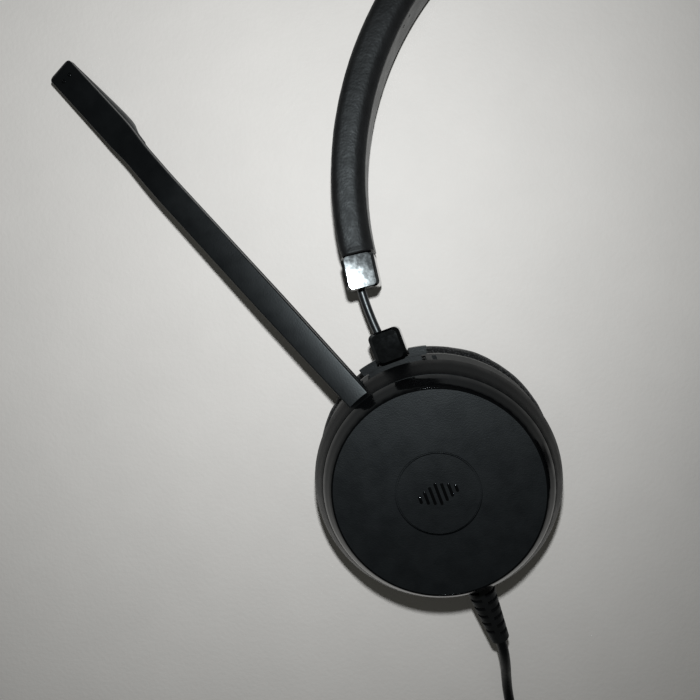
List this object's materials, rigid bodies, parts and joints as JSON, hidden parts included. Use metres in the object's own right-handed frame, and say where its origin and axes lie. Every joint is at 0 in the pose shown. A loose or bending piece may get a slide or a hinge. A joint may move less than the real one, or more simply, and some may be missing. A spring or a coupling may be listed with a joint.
{
  "type": "office headset",
  "caption": "Wired office headset lying flat: padded arched band, two round on-ear cups on sliding rods, a microphone boom, in-line call controller, USB plug.",
  "frame": {"origin": "centre of the microphone-side ear cushion, on the face that meets the ear, which rests on the table", "axes": "+Z out of the cups away from the ears, +Y towards the top of the headband, +X from the microphone-side cup to the plain cup"},
  "size_m": [0.2558, 0.3503, 0.0341],
  "materials": {
    "leatherette": "fine grain, satin",
    "liner": "smooth matte grey",
    "matte_shell": "fine spark-eroded grain",
    "boom_shell": "satin",
    "gloss_black": "high gloss",
    "housing_grey": "satin dark grey",
    "inner_plastic": "moulded, unpainted",
    "foam_cloth": "foam covered with a fine cloth",
    "wire_steel": "blackened spring wire",
    "steel": "plain",
    "chrome": "plated",
    "cone": "thin film",
    "board": "solder mask",
    "cord_rubber": "soft matte",
    "keys": "soft matte",
    "contact_plastic": "plain"
  },
  "bodies": {
    "mic_cup": {"mic_ear_cushion": "foam_cloth", "mic_baffle": "inner_plastic", "mic_driver_grille": "inner_plastic", "mic_driver_frame": "inner_plastic", "mic_driver_diaphragm": "cone", "mic_driver_magnet": "steel", "mic_housing": "housing_grey", "mic_housing_screws": "steel", "mic_plate_carrier": "gloss_black", "mic_outer_plate": "matte_shell", "mic_hinge_pin": "steel", "cup_board": "board", "boom_washer": "steel", "strain_relief": "cord_rubber", "headset_cord": "cord_rubber", "headset_cord_coil": "cord_rubber", "headset_cord_tail": "cord_rubber", "controller_top": "matte_shell", "controller_base": "matte_shell", "controller_board": "board", "usb_cord": "cord_rubber", "usb_cord_coil": "cord_rubber", "usb_cord_tail": "cord_rubber", "plug_overmold": "cord_rubber", "plug_shell": "chrome", "plug_tongue": "contact_plastic"},
    "boom": {"boom_ring": "boom_shell", "boom_arm_upper": "boom_shell", "boom_arm_lower": "boom_shell", "mic_pod": "boom_shell", "mic_capsules": "steel"},
    "mic_yoke": {"mic_yoke_block": "gloss_black", "mic_yoke_tab": "inner_plastic"},
    "mic_arm": {"mic_arm_rod": "wire_steel"},
    "headband": {"headband_cover": "leatherette", "headband_frame": "inner_plastic", "spring_strip": "steel", "headband_liner": "liner", "band_wire": "cord_rubber", "slider_clips": "steel", "mic_side_ferrule": "gloss_black", "plain_side_ferrule": "gloss_black"},
    "plain_arm": {"plain_arm_rod": "wire_steel"},
    "plain_yoke": {"plain_yoke_block": "gloss_black", "plain_yoke_tab": "inner_plastic"},
    "plain_cup": {"plain_ear_cushion": "foam_cloth", "plain_baffle": "inner_plastic", "plain_driver_grille": "inner_plastic", "plain_driver_frame": "inner_plastic", "plain_driver_diaphragm": "cone", "plain_driver_magnet": "steel", "plain_housing": "housing_grey", "plain_housing_screws": "steel", "plain_plate_carrier": "gloss_black", "plain_outer_plate": "matte_shell", "plain_hinge_pin": "steel", "plain_side_ring": "boom_shell"},
    "volume_rocker": {"volume_rocker": "keys"},
    "mute_button": {"mute_button": "keys"},
    "call_button": {"call_button": "keys"}
  },
  "joints": [
    {"name": "boom_turn", "type": "hinge", "parent": "mic_cup", "child": "boom", "pos_m": [0, 0, 0.027], "axis": [0, 0, 1], "range_deg": [-10, 150]},
    {"name": "mic_cup_tilt", "type": "hinge", "parent": "mic_cup", "child": "mic_yoke", "pos_m": [-0.00968, 0.02521, 0.018], "axis": [0.9336, 0.3584, 0], "range_deg": [-4, 16]},
    {"name": "mic_cup_swivel", "type": "hinge", "parent": "mic_yoke", "child": "mic_arm", "pos_m": [-0.01449, 0.03404, 0.0173], "axis": [-0.3575, 0.9313, -0.0702], "range_deg": [0, 105]},
    {"name": "mic_side_slide", "type": "hinge", "parent": "mic_arm", "child": "headband", "pos_m": [0.053, 0.06928, 0.01468], "axis": [0, -0.0752, -0.9972], "range_deg": [-8, 13]},
    {"name": "plain_side_slide", "type": "hinge", "parent": "headband", "child": "plain_arm", "pos_m": [0.053, 0.06928, 0.01468], "axis": [0, -0.0752, -0.9972], "range_deg": [-8, 13]},
    {"name": "plain_cup_swivel", "type": "hinge", "parent": "plain_arm", "child": "plain_yoke", "pos_m": [0.12049, 0.03404, 0.0173], "axis": [0.3575, 0.9313, -0.0702], "range_deg": [0, 105]},
    {"name": "plain_cup_tilt", "type": "hinge", "parent": "plain_yoke", "child": "plain_cup", "pos_m": [0.11568, 0.02521, 0.018], "axis": [-0.9336, 0.3584, 0], "range_deg": [-4, 16]},
    {"name": "volume_rock", "type": "hinge", "parent": "mic_cup", "child": "volume_rocker", "pos_m": [0.117, -0.138, 0.0087], "axis": [0, 1, 0], "range_deg": [-3.5, 3.5], "stiffness_Nm_per_rad": 0.02},
    {"name": "mute_press", "type": "slide", "parent": "mic_cup", "child": "mute_button", "axis": [0, 0, -1], "range_m": [0, 0.0006], "stiffness_N_per_m": 700, "springref_m": -0.0004},
    {"name": "call_press", "type": "slide", "parent": "mic_cup", "child": "call_button", "axis": [0, 0, -1], "range_m": [0, 0.0006], "stiffness_N_per_m": 700, "springref_m": -0.0004}
  ]
}
